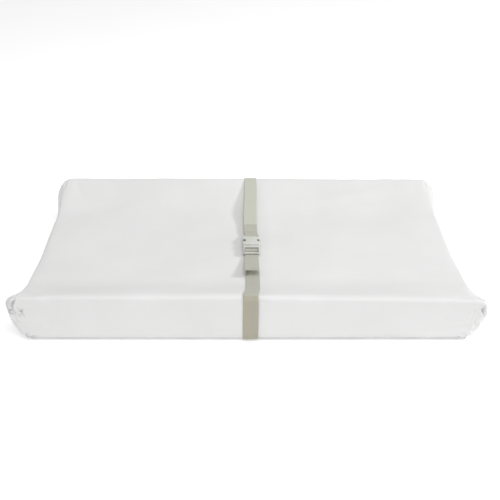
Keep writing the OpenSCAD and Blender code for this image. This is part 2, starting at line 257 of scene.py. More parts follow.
class Nodes:
    """Builds one material's node tree, a node at a time."""

    def __init__(self, name):
        self.material = bpy.data.materials.new(name)
        self.material.use_nodes = True
        self.tree = self.material.node_tree
        self.shader = self.tree.nodes["Principled BSDF"]
        self.place = self.add("ShaderNodeTexCoord").outputs["Object"]

    def add(self, kind, **settings):
        node = self.tree.nodes.new(kind)
        for key, value in settings.items():
            setattr(node, key, value)
        return node

    def link(self, source, target):
        self.tree.links.new(source, target)

    def scaled(self, factors):
        node = self.add("ShaderNodeMapping")
        self.link(self.place, node.inputs["Vector"])
        node.inputs["Scale"].default_value = factors
        return node.outputs["Vector"]

    def noise(self, scale, detail=2, vector=None):
        node = self.add("ShaderNodeTexNoise")
        self.link(vector or self.place, node.inputs["Vector"])
        node.inputs["Scale"].default_value = scale
        node.inputs["Detail"].default_value = detail
        return node.outputs["Fac"]

    def cells(self, scale):
        node = self.add("ShaderNodeTexVoronoi")
        self.link(self.place, node.inputs["Vector"])
        node.inputs["Scale"].default_value = scale
        return node.outputs["Distance"]

    def bands(self, scale, axis):
        node = self.add("ShaderNodeTexWave", wave_type="BANDS", bands_direction=axis)
        self.link(self.place, node.inputs["Vector"])
        node.inputs["Scale"].default_value = scale
        return node.outputs["Fac"]

    def math(self, operation, a, b):
        node = self.add("ShaderNodeMath", operation=operation)
        for socket, value in zip(node.inputs, (a, b)):
            if isinstance(value, (int, float)):
                socket.default_value = value
            else:
                self.link(value, socket)
        return node.outputs[0]

    def ramp(self, value, low, high, at=(0.3, 0.7)):
        node = self.add("ShaderNodeValToRGB")
        self.link(value, node.inputs["Fac"])
        for stop, place, colour in zip(node.color_ramp.elements, at, (low, high)):
            stop.position = place
            stop.color = (*colour, 1)
        return node.outputs["Color"]

    def bump(self, height, strength, distance, after=None):
        node = self.add("ShaderNodeBump")
        self.link(height, node.inputs["Height"])
        node.inputs["Strength"].default_value = strength
        node.inputs["Distance"].default_value = distance
        if after:
            self.link(after, node.inputs["Normal"])
        return node.outputs["Normal"]

    def simple(self, height, strength, distance, tone, low, high, rough, **constants):
        """One bump, one tone between two colours, and an even roughness."""
        normal = self.bump(height, strength, distance)
        return self.finish(self.ramp(tone, low, high), normal, rough, **constants)

    def finish(self, colour, normal, roughness, **constants):
        self.link(colour, self.shader.inputs["Base Color"])
        self.link(normal, self.shader.inputs["Normal"])
        if isinstance(roughness, (int, float)):
            self.shader.inputs["Roughness"].default_value = roughness
        else:
            self.link(roughness, self.shader.inputs["Roughness"])
        for key, value in constants.items():
            self.shader.inputs[key.replace("_", " ")].default_value = value
        return self.material


def grey(value, warm=0.0):
    """A grey, made warmer by a small share."""
    return (value * (1 + warm), value, value * (1 - warm))


def cover_material():
    n = Nodes("coated_cover")
    grain = n.cells(900)
    weave = n.noise(420, 3)
    fold = n.noise(22, 3)
    normal = n.bump(grain, 0.10, 0.0002)
    normal = n.bump(weave, 0.12, 0.0004, normal)
    normal = n.bump(fold, 0.10, 0.0015, normal)
    colour = n.ramp(n.noise(9, 4), grey(0.735, 0.004), grey(0.775, 0.002))
    rough = n.math("ADD", n.math("MULTIPLY", n.noise(60, 3), 0.12), 0.40)
    gloss = {"Specular_IOR_Level": 0.45, "Coat_Weight": 0.08, "Coat_Roughness": 0.3}
    return n.finish(colour, normal, rough, **gloss)


def foam_material():
    n = Nodes("open_foam")
    pores = n.cells(700)
    return n.simple(pores, 0.6, 0.0006, pores, (0.62, 0.55, 0.34), (0.86, 0.80, 0.60), 0.95)


def base_material():
    n = Nodes("non_slip_base")
    cloth = n.math("MULTIPLY", n.bands(260, "X"), n.bands(260, "Y"))
    return n.simple(cloth, 0.4, 0.0003, n.noise(30, 3), grey(0.62), grey(0.70), 0.85)


def rubber_material():
    n = Nodes("grip_dots")
    return n.simple(n.noise(1500), 0.15, 0.0002, n.noise(300), grey(0.66), grey(0.74), 0.6)


RIB = 1.6
TWILL = 0.9


def webbing_material(name, low, high):
    """Flat woven webbing: ribs along it and a fine diagonal in each, from a UV map in millimetres."""
    n = Nodes(name)
    n.place = n.add("ShaderNodeUVMap", uv_map="weave").outputs["UV"]
    split = n.add("ShaderNodeSeparateXYZ")
    n.link(n.place, split.inputs[0])
    across, along = split.outputs["X"], split.outputs["Y"]
    ribs = n.math("ABSOLUTE", n.math("SINE", n.math("MULTIPLY", across, math.pi / RIB), 0), 0)
    lean = n.math("PINGPONG", across, RIB / 2)
    twill = n.math("SINE", n.math("MULTIPLY", n.math("ADD", along, lean), 2 * math.pi / TWILL), 0)
    height = n.math("ADD", ribs, n.math("MULTIPLY", twill, 0.35))
    normal = n.bump(height, 0.55, 0.00035)
    cloud = n.math("MULTIPLY", n.noise(0.7, 3), 0.6)
    mottle = n.math("ADD", n.math("MULTIPLY", height, 0.35), cloud)
    colour = n.ramp(mottle, low, high, (0.15, 0.85))
    return n.finish(colour, normal, 0.62, Sheen_Weight=0.15, Sheen_Roughness=0.4)


def thread_material(name, low, high):
    n = Nodes(name)
    return n.simple(n.noise(2500), 0.4, 0.0001, n.noise(900), low, high, 0.7)


def plastic_material(name, low, high, roughness=0.32):
    n = Nodes(name)
    normal = n.bump(n.noise(1800, 3), 0.12, 0.0001)
    normal = n.bump(n.noise(90, 2), 0.1, 0.0004, normal)
    colour = n.ramp(n.noise(45, 3), low, high)
    rough = n.math("ADD", n.math("MULTIPLY", n.noise(220, 3), 0.15), roughness)
    return n.finish(colour, normal, rough, Subsurface_Weight=0.1, Subsurface_Scale=0.002)


def metal_material(name, tone):
    n = Nodes(name)
    brushed = n.noise(500, 3, n.scaled((1, 8, 8)))
    normal = n.bump(brushed, 0.15, 0.0001)
    colour = n.ramp(n.noise(120), grey(tone * 0.85, 0.01), grey(tone, 0.01))
    rough = n.math("ADD", n.math("MULTIPLY", brushed, 0.2), 0.22)
    return n.finish(colour, normal, rough, Metallic=1.0)


def tape_material():
    n = Nodes("zip_tape")
    normal = n.bump(n.bands(900, "Z"), 0.35, 0.0002)
    normal = n.bump(n.bands(900, "X"), 0.35, 0.0002, normal)
    colour = n.ramp(n.noise(200, 3), grey(0.70), grey(0.78))
    return n.finish(colour, normal, 0.75)


def elastic_material():
    n = Nodes("flat_elastic")
    weave = n.noise(1200, 2, n.scaled((1, 0.2, 0.2)))
    return n.simple(weave, 0.5, 0.0003, n.noise(300), grey(0.72), grey(0.82), 0.8)


def label_material():
    n = Nodes("satin_label")
    weave = n.bands(1400, "X")
    return n.simple(weave, 0.2, 0.0001, n.noise(150, 3), grey(0.80), grey(0.86), 0.45, Sheen_Weight=0.2)


def floor_material():
    n = Nodes("pale_floor")
    normal = n.bump(n.noise(40), 0.02, 0.0005)
    colour = n.ramp(n.noise(3), grey(0.93), grey(0.95))
    return n.finish(colour, normal, 0.9, Emission_Color=(1, 1, 1, 1), Emission_Strength=0.27)


COVER = cover_material()
FOAM = foam_material()
BASE = base_material()
DOTS = rubber_material()
WEBBING = webbing_material("belt_webbing", (0.395, 0.39, 0.325), (0.565, 0.56, 0.49))
# A lighter copy of the same webbing: painted light on the single layer of the rear belt, which faces the
# light
WEBBING_PAINTED_LIGHT = webbing_material("belt_webbing_painted_light", (0.465, 0.48, 0.40), (0.65, 0.665, 0.57))
# A darker copy of the same webbing: painted shade on the belt where it runs down the front side
WEBBING_PAINTED_SHADE = webbing_material("belt_webbing_painted_shade", (0.345, 0.325, 0.25), (0.505, 0.485, 0.395))
THREAD = thread_material("thread", (0.50, 0.50, 0.43), (0.62, 0.62, 0.55))
WHITE_THREAD = thread_material("white_thread", grey(0.74), grey(0.84))
PLASTIC = plastic_material("buckle_plastic", (0.56, 0.57, 0.53), (0.66, 0.67, 0.63))
# The prongs are the buckle's own plastic painted near black: painted shade for the shadow in the
# socket's side windows
PLASTIC_PAINTED_SHADE = plastic_material("prong_plastic_painted_shade", (0.16, 0.165, 0.155), (0.22, 0.225, 0.21))
METAL = metal_material("plated_zinc", 0.72)
NICKEL = metal_material("nickel", 0.78)
TAPE = tape_material()
COIL = plastic_material("zip_coil", grey(0.72), grey(0.80), 0.4)
ELASTIC = elastic_material()
LABEL = label_material()


def dress(obj, material):
    """Gives an object one material all over."""
    obj.data.materials.clear()
    obj.data.materials.append(material)
    obj.data.polygons.foreach_set("material_index", [0] * len(obj.data.polygons))


def place(obj, material, body, slot, *replaced):
    """Dresses a piece, hangs it on its CAD body and hides the CAD nodes it stands for. The slot is not
    used.
    """
    dress(obj, material)
    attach(obj, body)
    if replaced:
        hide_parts(*replaced)


# ---- the pad's surface ----

ARC_STEPS = 6
SLOPE_STEPS = 20
HOLLOW_STEPS = 8
SIDE_ROWS = 28
END_RINGS = 14
SEAM_RING = 3
DOME = 0.0025


def fall(t):
    """A fall from 0 to 1 that turns down quickly, runs straight and levels out slowly."""
    steep = 1 / (1 - (ROUND_IN + ROUND_OUT) / 2)
    if t < ROUND_IN:
        return steep * t * t / (2 * ROUND_IN)
    if t < 1 - ROUND_OUT:
        return steep * (t - ROUND_IN / 2)
    return 1 - steep * (1 - t) ** 2 / (2 * ROUND_OUT)


def hollow_z(y, foot_y):
    return VALLEY_Z + VALLEY_SAG * (y / foot_y) ** 2


def half_top(x):
    """The top of the section at x, from a side's upper edge to the middle."""
    along = min(abs(x) / END_X, 1)
    foot = SLOPE_FOOT - 0.006 + 0.010 * (1 - along ** 2)
    start = CREST_R + CREST_FLAT
    foot_y = SIDE_Y - foot
    points = [(SIDE_Y - CREST_R + CREST_R * math.cos(a), CREST_Z - CREST_R + CREST_R * math.sin(a))
              for a in np.linspace(0, math.pi / 2, ARC_STEPS + 1)]
    for t in np.linspace(0, 1, SLOPE_STEPS + 1) ** 1.35:
        drop = fall(t) * (CREST_Z - hollow_z(foot_y, foot_y))
        points.append((SIDE_Y - start - (foot - start) * t, CREST_Z - drop))
    for t in np.linspace(1, 0, HOLLOW_STEPS + 1)[1:]:
        points.append((foot_y * t, hollow_z(foot_y * t, foot_y)))
    return np.array(points)


def half_bottom(top):
    """The underside's points, one below each point of the top."""
    points = []
    for k, (y, _) in enumerate(top):
        if k <= ARC_STEPS:
            a = math.pi / 2 * k / ARC_STEPS
            points.append((SIDE_Y - EDGE_R + EDGE_R * math.cos(a), EDGE_R - EDGE_R * math.sin(a)))
        else:
            points.append((y - 0.002 * (len(top) - 1 - k) / len(top), 0))
    return np.array(points)


def perimeter(x):
    """The section's outline at x, and the line that its end closes on."""
    top = half_top(x)
    low = half_bottom(top)
    mirrored = np.array([-1, 1])
    full_top = np.concatenate([top, top[:-1][::-1] * mirrored])
    full_low = np.concatenate([low, low[:-1][::-1] * mirrored])
    rows = np.linspace(0, 1, SIDE_ROWS + 1)[1:-1, None]
    front = full_top[-1] * (1 - rows) + full_low[-1] * rows
    rear = full_low[0] * (1 - rows) + full_top[0] * rows
    outline = np.concatenate([full_top, front, full_low[::-1], rear])
    middle = (full_top + full_low) / 2
    reach = SIDE_Y - 0.04
    middle[:, 0] = np.clip(middle[:, 0], -reach, reach)
    ends = np.concatenate([middle, np.repeat(middle[-1:], len(front), 0), middle[::-1],
                           np.repeat(middle[:1], len(rear), 0)])
    return outline, ends


def end_limit(y, z):
    """How far the pad's end stands out at a height and a distance from the middle."""
    rear = smooth((y + 0.05) / 0.1)
    from_y = 0.120 * rear + 0.158 * (1 - rear)
    over_y = 0.072 * rear + 0.046 * (1 - rear)
    step = (END_STEP + FRONT_STEP * (1 - rear)) * (1 - smooth((np.abs(y) - from_y) / over_y))
    tuck = END_TUCK * (np.clip(TUCK_Z - z, 0, TUCK_Z) / TUCK_Z) ** 1.8
    return END_X - step - tuck


def end_radius(z):
    """The end's rounding: wide over the crests, tight at the hollow."""
    high = smooth((z - 0.05) / 0.036)
    low = smooth((0.03 - z) / 0.03)
    return 0.009 + 0.007 * high + 0.005 * low


def stations():
    """Places along the length, from -1 to 1: close together towards the ends."""
    fine = END_X - 0.085
    middle = np.linspace(-fine, fine, 66)
    outer = fine + (END_X - 0.012 - fine) * np.linspace(0, 1, 34)[1:]
    return np.concatenate([-outer[::-1], middle, outer])


TOP_FACE, FRONT_FACE, LOW_FACE, REAR_FACE, LEFT_END, RIGHT_END = range(6)


def pad_grid():
    """The whole pad's surface as one closed mesh, each face labelled with its panel."""
    xs = stations()
    verts, rings = [], []
    count = len(perimeter(0)[0])
    n_top = 2 * (ARC_STEPS + SLOPE_STEPS + HOLLOW_STEPS + 1) + 1
    kinds = np.concatenate([np.full(n_top - 1, TOP_FACE), np.full(SIDE_ROWS, FRONT_FACE),
                            np.full(n_top - 1, LOW_FACE), np.full(SIDE_ROWS, REAR_FACE)])
    last = xs[-1]

    def ring(points):
        start = len(verts)
        verts.extend(points)
        rings.append(np.arange(start, start + count))

    def end_rings(sign):
        outline, ends = perimeter(END_X)
        radius = end_radius(outline[:, 1])
        reach = np.maximum(np.linalg.norm(ends - outline, axis=1), 1e-4)
        found = []
        for k in range(1, END_RINGS + 1):
            share = k / END_RINGS
            turn = min(share / 0.6, 1) * math.pi / 2
            depth = radius * (1 - math.cos(turn))
            depth = depth + (reach - radius) * max(0, (share - 0.6) / 0.4)
            at = outline + (ends - outline) * (depth / reach)[:, None]
            inner = np.maximum(radius - depth, 0)
            rounded = np.where(depth < radius, np.sqrt(radius ** 2 - inner ** 2) - radius, 0)
            x = end_limit(at[:, 0], at[:, 1]) + rounded
            dome = DOME * max(0, (share - 0.5) / 0.5)
            found.append(np.column_stack([sign * (x + dome), at]))
        return found

    def column(x):
        """A ring of the wrap: near the ends it leans towards each point's own end."""
        outline, _ = perimeter(x)
        seam = end_limit(outline[:, 0], outline[:, 1]) - end_radius(outline[:, 1])
        lean = smooth((abs(x) - (last - 0.075)) / 0.075) ** 2
        place_x = abs(x) + (seam - last) * lean
        return np.column_stack([math.copysign(1, x) * place_x if x else place_x * 0, outline])

    for points in end_rings(-1)[::-1]:
        ring(points)
    for x in xs:
        ring(column(x))
    for points in end_rings(1):
        ring(points)
    faces, labels = [], []
    for r in range(len(rings) - 1):
        a, b = rings[r], rings[r + 1]
        for j in range(count):
            k = (j + 1) % count
            faces.append((a[j], b[j], b[k], a[k]))
            label = kinds[j]
            if r < END_RINGS - SEAM_RING:
                label = LEFT_END
            elif r >= len(rings) - 1 - (END_RINGS - SEAM_RING):
                label = RIGHT_END
            labels.append(label)
    return np.array(verts), faces, labels


# ---- creases where the cover is gathered round the ends ----


def distance_to_line(points, line):
    """The distance from each point to a line of points, and how far along the nearest part is."""
    best = np.full(len(points), 9.0)
    where = np.zeros(len(points))
    total = len(line) - 1
    for i in range(total):
        a, b = line[i], line[i + 1]
        run = b - a
        t = np.clip((points - a) @ run / (run @ run), 0, 1)
        gap = np.linalg.norm(points - a - t[:, None] * run, axis=1)
        nearer = gap < best
        best[nearer] = gap[nearer]
        where[nearer] = (i + t[nearer]) / total
    return best, where


# Creases in a side near an end: (how far in from the end, height) pairs in millimetres, then
# depth and width. The rear side has them too, left and right exchanged
RIGHT_CREASES = [
    ([(21, 70), (17, 62), (19, 52), (22, 40), (20, 28), (14, 18)], 1.5, 2.6),
    ([(15, 84), (12, 73), (14, 62), (10, 52), (6, 45), (7, 37)], 4.8, 1.9),
    ([(30, 72), (26, 60), (28, 46), (32, 36)], 0.8, 3.2),
    ([(9, 76), (7, 68), (5, 60)], 1.4, 1.6),
    ([(34, 28), (24, 22), (16, 12), (12, 4)], 1.1, 3.0),
    ([(44, 22), (34, 14), (28, 5), (26, 0)], 1.3, 2.8),
    ([(52, 12), (42, 6), (36, 0)], 0.9, 2.2),
    ([(13, 44), (9, 36), (10, 26)], 1.0, 2.0),
]
LEFT_CREASES = [
    ([(20, 82), (15, 73), (14, 64), (17, 56)], 4.4, 1.8),
    ([(1, 72), (6, 65), (11, 60), (15, 56)], 4.4, 1.8),
    ([(3, 58), (8, 56), (13, 52)], 3.4, 1.7),
    ([(23, 67), (28, 60), (32, 52)], 2.2, 1.7),
    ([(32, 66), (27, 58), (23, 50)], 2.0, 1.6),
    ([(16, 56), (15, 48), (18, 40)], 1.4, 2.2),
    ([(9, 42), (12, 30), (14, 22)], 1.3, 1.8),
    ([(14, 38), (17, 26), (20, 18)], 1.0, 1.6),
    ([(34, 16), (26, 10), (20, 5)], 1.6, 2.2),
    ([(48, 12), (38, 10), (30, 3)], 1.0, 2.4),
]


def press(co, sign, creases, side):
    """How far a side's creases push each point in. sign is the end, side the front or rear."""
    depth = np.zeros(len(co))
    near = (sign * co[:, 0] > END_X - 0.09) & (side * co[:, 1] > SIDE_Y - 0.05)
    flat = np.column_stack([END_X - sign * co[near, 0], co[near, 2]])
    face = smooth((side * co[near, 1] - (SIDE_Y - 0.03)) / 0.02)
    for line, deep, wide in creases:
        gap, where = distance_to_line(flat, np.array(line) * MM)
        taper = np.sin(np.clip(where, 0.02, 0.98) * math.pi) ** 0.6
        gap = gap / (wide * MM)
        shape = np.exp(-gap ** 2) - 0.45 * np.exp(-(gap - 2.1) ** 2)
        depth[near] += deep * MM * taper * shape * face
    return depth


# Long soft folds in the top, as (x, y) pairs in millimetres, then depth and width; a
# negative depth is a ridge
LONG_FOLDS = [
    ([(60, 150), (150, 160), (250, 176), (335, 190)], -0.9, 11),
    ([(45, 128), (140, 136), (240, 156), (300, 168)], 0.8, 12),
    ([(170, 186), (260, 196), (330, 200)], 0.5, 8),
    ([(-60, 150), (-120, 158), (-180, 176)], 0.8, 16),
    ([(-250, 120), (-310, 140), (-350, 168)], 0.5, 14),
    ([(40, 100), (44, 20), (38, -80)], -0.35, 9),
    ([(-30, 40), (-120, 20), (-240, 34)], 0.3, 20),
    ([(120, -60), (220, -40), (330, -70)], 0.3, 18),
    ([(-40, -120), (-130, -132), (-210, -124)], 0.4, 14),
]


def long_folds(co):
    depth = np.zeros(len(co))
    top = smooth((co[:, 2] - 0.04) / 0.006) * smooth((SIDE_Y - 0.004 - np.abs(co[:, 1])) / 0.006)
    for line, deep, wide in LONG_FOLDS:
        gap, where = distance_to_line(co[:, :2], np.array(line) * MM)
        fade = np.sin(np.clip(where, 0, 1) * math.pi)
        depth += deep * MM * fade * np.exp(-(gap / (wide * MM)) ** 2) * top
    return depth


PUCKERS = 70


def gathers(co):
    """Small random puckers along both end seams, fading into the panels on either side."""
    rng = np.random.default_rng(11)
    away = np.zeros(len(co))
    outline, _ = perimeter(END_X)
    for sign in (-1, 1):
        near = sign * co[:, 0] > END_X - 0.06
        run = co[near][:, 1:]
        height = np.zeros(near.sum())
        for _ in range(PUCKERS):
            j = rng.integers(len(outline))
            centre = outline[j]
            if centre[1] < 0.004 or abs(centre[0]) < SIDE_Y - 0.004:
                continue
            long = rng.uniform(0.010, 0.03)
            gap = np.linalg.norm(run - centre, axis=1) / rng.uniform(0.0016, 0.0032)
            back = (END_X - 0.008 - sign * co[near, 0]) / long
            height += rng.uniform(0.15, 0.5) * MM * np.exp(-gap ** 2) * np.exp(-back ** 2)
        away[near] -= height
    return away


# ---- cover ----


def belly(z):
    """How far the front side swells out at a height."""
    return BELLY * np.sin(np.clip(z / CREST_Z, 0, 1) * math.pi) ** 0.8


def body_shape(co):
    """Large, soft departures of the filled cover from the plain section."""
    x, y, z = co.T.copy()
    along = 1 - (x / END_X) ** 2
    out = co.copy()
    in_end = np.clip(np.abs(x) - (END_X - END_ROUND), 0, END_ROUND) / (1.2 * END_ROUND)
    bend = 1 - np.sqrt(1 - in_end ** 2)
    droop = END_DROOP + (0.007 + 0.005 * np.sign(x)) * (y < 0)
    out[:, 2] -= droop * bend * smooth((z - 0.044) / 0.044)
    out[:, 1] -= np.sign(y) * PLAN_ROUND * bend * smooth((np.abs(y) - 0.15) / 0.06)
    front = smooth((-y - (SIDE_Y - 0.02)) / 0.015)
    out[:, 1] -= front * along * belly(z)
    sag = smooth((x + 0.12) / 0.5) * smooth((-y - 0.11) / 0.07) * smooth((z - 0.05) / 0.035)
    out[:, 2] -= CREST_SAG * sag
    crest = smooth((z - 0.06) / 0.028)
    out[:, 2] += crest * CROWN * (along - 0.5)
    rest = smooth(z / 0.02)
    out[:, 2] += rest * 0.0007 * waves(co * [1, 1, 0.3], 3, 0.17)
    out[:, 1] += rest * 0.0005 * waves(co * [1, 0.4, 1], 5, 0.12) * smooth((-y - 0.19) / 0.02)
    out[:, 2] += BASE_LIFT * (1 - smooth(z / 0.006))
    belt = near_belt(x, 0.017) * smooth((z - 0.052) / 0.02)
    pressed = belt * smooth((np.abs(y) - 0.16) / 0.03) * 0.0011
    out[:, 2] -= pressed * smooth((z - 0.07) / 0.015)
    side = smooth((np.abs(y) - (SIDE_Y - 0.004)) / 0.003)
    out[:, 1] += near_belt(x, 0.016) * side * 0.0009 * (y < 0)
    return out


GROOVE_W = 0.0016
GROOVE_DEPTH = 0.0011
PANELS = 6
FRONT_PRESS = 1.5


def seam_groove(co):
    """The end seams pull the cover in along a narrow line."""
    share = SEAM_RING / END_RINGS / 0.6
    radius = end_radius(co[:, 2])
    seam = end_limit(co[:, 1], co[:, 2]) - radius * (1 - math.sin(share * math.pi / 2))
    gap = (np.abs(co[:, 0]) - seam) / GROOVE_W
    return GROOVE_DEPTH * np.exp(-gap ** 2) * smooth(co[:, 2] / 0.01)


def make_surface():
    verts, faces, labels = pad_grid()
    body = new_object("pad_surface", verts, faces, labels)
    for _ in range(PANELS):
        body.data.materials.append(COVER)
    weld(body, 0.00002)
    return body


def fill_out(body):
    """Subdivides the surface once and gives it the filled cover's large shapes."""
    body.modifiers.new("smooth", "SUBSURF").levels = 1
    apply_modifiers(body)
    set_coords(body, body_shape(coords(body)))


def detail(body):
    """Presses seams, gathers and creases into the surface."""
    co = coords(body)
    normal = normals(body)
    depth = seam_groove(co)
    depth += FRONT_PRESS * (press(co, 1, RIGHT_CREASES, -1) + press(co, -1, LEFT_CREASES, -1))
    depth += press(co, 1, LEFT_CREASES, 1) + press(co, -1, RIGHT_CREASES, 1)
    depth += long_folds(co)
    depth -= gathers(co)
    set_coords(body, co - normal * depth[:, None])


def zip_window(face):
    """Whether a face lies in the slit of the rear side that shows the zip."""
    middle = face.calc_center_median()
    in_slit = abs(middle.x) < ZIP_END and abs(middle.z - ZIP_Z) < ZIP_GAP
    return in_slit and middle.y > SIDE_Y - 0.01


def panel(body, name, wanted, thickness):
    """Cuts the faces with the wanted labels out of the surface, as a piece of its own."""
    def cut(bm):
        drop = [f for f in bm.faces if f.material_index not in wanted or zip_window(f)]
        bmesh.ops.delete(bm, geom=drop, context="FACES")

    obj = copied(body, name)
    edit_mesh(obj, cut)
    solid = obj.modifiers.new("thick", "SOLIDIFY")
    solid.thickness = thickness
    solid.offset = -1
    apply_modifiers(obj)
    smooth_shade(obj)
    return obj


def shrunk(body, name, depth):
    """A copy of the surface, moved in by a depth."""
    obj = copied(body, name)
    co = coords(obj) - normals(obj) * depth
    co[:, 0] = np.clip(co[:, 0], depth - END_X, END_X - depth)
    co[:, 2] = np.maximum(co[:, 2], BASE_LIFT + depth)
    set_coords(obj, co)
    return obj


CLOTH_CAP = 0.0016
CLOTH_FRAMES = 14


def settle_cover(body):
    """Lets the cover settle as slack cloth filled from inside, each move kept under the cap."""
    before = coords(body)
    group = body.vertex_groups.new(name="held")
    zip_side = (before[:, 1] > SIDE_Y - 0.004) & (before[:, 2] < 0.075)
    held = zip_side | (before[:, 2] < 0.012)
    group.add([int(i) for i in np.flatnonzero(held)], 1, "REPLACE")
    cloth = body.modifiers.new("settle", "CLOTH")
    settings = cloth.settings
    settings.quality = 4
    settings.mass = 0.3
    settings.tension_stiffness = 30
    settings.compression_stiffness = 20
    settings.shear_stiffness = 10
    settings.bending_stiffness = 1.0
    settings.vertex_group_mass = "held"
    settings.use_pressure = True
    settings.uniform_pressure_force = 4
    settings.shrink_min = -0.01
    settings.effector_weights.gravity = 0
    cloth.point_cache.frame_end = CLOTH_FRAMES
    for number in range(1, CLOTH_FRAMES + 1):
        scene.frame_set(number)
    settled = body.evaluated_get(bpy.context.evaluated_depsgraph_get()).data
    move = per_vertex(settled, "co") - before
    body.modifiers.remove(cloth)
    scene.frame_set(1)
    size = np.linalg.norm(move, axis=1)
    free = 1 - near_belt(before[:, 0], 0.024)
    share = free * CLOTH_CAP / (CLOTH_CAP + size)
    set_coords(body, before + move * share[:, None])


FOAM_GAP = 0.0075
surface = make_surface()
settle_cover(surface)
fill_out(surface)
foam = shrunk(surface, "foam_block", FOAM_GAP)
smooth_shade(foam)
place(foam, FOAM, "pad", "foam", "foam_core")
detail(surface)

cover = panel(surface, "cover", (TOP_FACE, FRONT_FACE, REAR_FACE), COVER_T)
place(cover, COVER, "pad", "cover", "cover_wrap")
for side_name, label in (("left", LEFT_END), ("right", RIGHT_END)):
    end = panel(surface, "end_cover_" + side_name, (label,), COVER_T)
    place(end, COVER, "pad", "cover", "end_panel_" + side_name)
base = panel(surface, "base_sheet", (LOW_FACE,), BASE_T)
place(base, BASE, "pad", "base", "base_panel")
bpy.data.objects.remove(surface)


def end_elastic(side_name, sign):
    """A flat elastic in the end seam, just inside the cover, all the way round."""
    outline, ends = perimeter(END_X)
    reach = np.linalg.norm(ends - outline, axis=1)
    inward = (ends - outline) / np.maximum(reach, 1e-4)[:, None]
    verts, faces = [], []
    count = len(outline)
    pull = END_X - end_limit(outline[:, 0], outline[:, 1])
    for depth, offset in ((0.0038, 0), (0.0038, 0.005), (0.0046, 0.005), (0.0046, 0)):
        for j in range(count):
            gather = 0.00025 * math.sin(j * 1.9)
            at = outline[j] + inward[j] * (depth + gather)
            verts.append((sign * (END_X - 0.026 - pull[j] + offset), at[0], max(at[1], 0.0035)))
    for k in range(4):
        faces += ring_faces(k * count, (k + 1) % 4 * count, count)
    obj = new_object("end_elastic_band_" + side_name, body_shape(np.array(verts)), faces)
    weld(obj, 0.00001)
    smooth_shade(obj, 50)
    place(obj, ELASTIC, "pad", "elastic", "end_elastic_" + side_name)


end_elastic("left", -1)
end_elastic("right", 1)

# ---- belt ----


def resample(line, step):
    """A smooth curve through a line of (y, z) points, at even steps."""
    line = np.array(line, float)
    ends = [line[0] * 2 - line[1], *line, line[-1] * 2 - line[-2]]
    fine = []
    for i in range(1, len(ends) - 2):
        p0, p1, p2, p3 = ends[i - 1:i + 3]
        for t in np.linspace(0, 1, 9)[:-1]:
            fine.append(0.5 * (2 * p1 + (p2 - p0) * t + (2 * p0 - 5 * p1 + 4 * p2 - p3) * t ** 2
                               + (3 * p1 - p0 - 3 * p2 + p3) * t ** 3))
    fine = np.array([*fine, line[-1]])
    far = np.concatenate([[0], np.cumsum(np.linalg.norm(np.diff(fine, axis=0), axis=1))])
    at = np.linspace(0, far[-1], max(int(far[-1] / step), 2) + 1)
    return np.column_stack([np.interp(at, far, fine[:, k]) for k in (0, 1)]), at


RIBBON_STEP = 0.0015


def ribbon(name, line, wobble, seed, drift=None, centre_x=STRAP_X):
    """Webbing along a (y, z) line: rounded selvedges, low ribs, a UV map in millimetres."""
    path, far = resample(line, RIBBON_STEP)
    run = unit_steps(path)
    up = np.column_stack([-run[:, 1], run[:, 0]])
    half, deep = STRAP_W / 2, STRAP_T / 2
    edge = [(half - deep + deep * math.cos(a), deep * math.sin(a)) for a in np.linspace(-1.2, 1.2, 5)]
    across = np.linspace(half - deep * 1.2, -half + deep * 1.2, 17)
    top = [(x, deep * (0.96 + 0.04 * math.cos(x * 2 * math.pi / 0.0031))) for x in across]
    section = edge + top + [(-x, -z) for x, z in edge] + [(-x, -z) for x, z in top]
    rng = np.random.default_rng(seed)
    phase = rng.uniform(0, 6.3, 3)
    sway = wobble * (np.sin(far / 0.05 + phase[0]) + 0.6 * np.sin(far / 0.021 + phase[1]))
    tilt = wobble * 0.9 * np.sin(far / 0.07 + phase[2])
    if drift:
        sway = sway + drift(path)
    count = len(section)
    verts, faces, uvs = [], [], []
    for i, (point, normal) in enumerate(zip(path, up)):
        for x, z in section:
            y0, z0 = point + normal * (z + tilt[i] * x / half)
            verts.append((centre_x + sway[i] + x, y0, z0))
    for i in range(len(path) - 1):
        faces += ring_faces(i * count, (i + 1) * count, count)
        for j in range(count):
            k = (j + 1) % count
            x0, x1 = section[j][0], section[k][0]
            for x, v in ((x0, far[i]), (x1, far[i]), (x1, far[i + 1]), (x0, far[i + 1])):
                uvs.append(((x + half) / MM, v / MM))
    for ring in (list(range(count))[::-1], [(len(path) - 1) * count + j for j in range(count)]):
        faces.append(ring)
        for x, y, z in (verts[v] for v in ring):
            uvs.append(((x - centre_x + half) / MM, (z + y) / MM))
    obj = new_object(name, verts, faces)
    layer = obj.data.uv_layers.new(name="weave")
    layer.data.foreach_set("uv", np.array(uvs).ravel())
    weld(obj, 0.000001)
    smooth_shade(obj, 50)
    dress(obj, WEBBING)
    return obj


def arc(centre, radius, a0, a1, steps):
    turn = np.radians(np.linspace(a0, a1, steps + 1))
    return [(centre[0] + radius * math.cos(a), centre[1] + radius * math.sin(a)) for a in turn]


def over_top(x):
    """The pad's upper surface at x, raised so that webbing lies on it, from side to middle."""
    line = np.concatenate([[(SIDE_Y, 0.012 + 0.01 * i) for i in range(6)], half_top(x)])
    run = unit_steps(line)
    return line + np.column_stack([run[:, 1], -run[:, 0]]) * LIFT


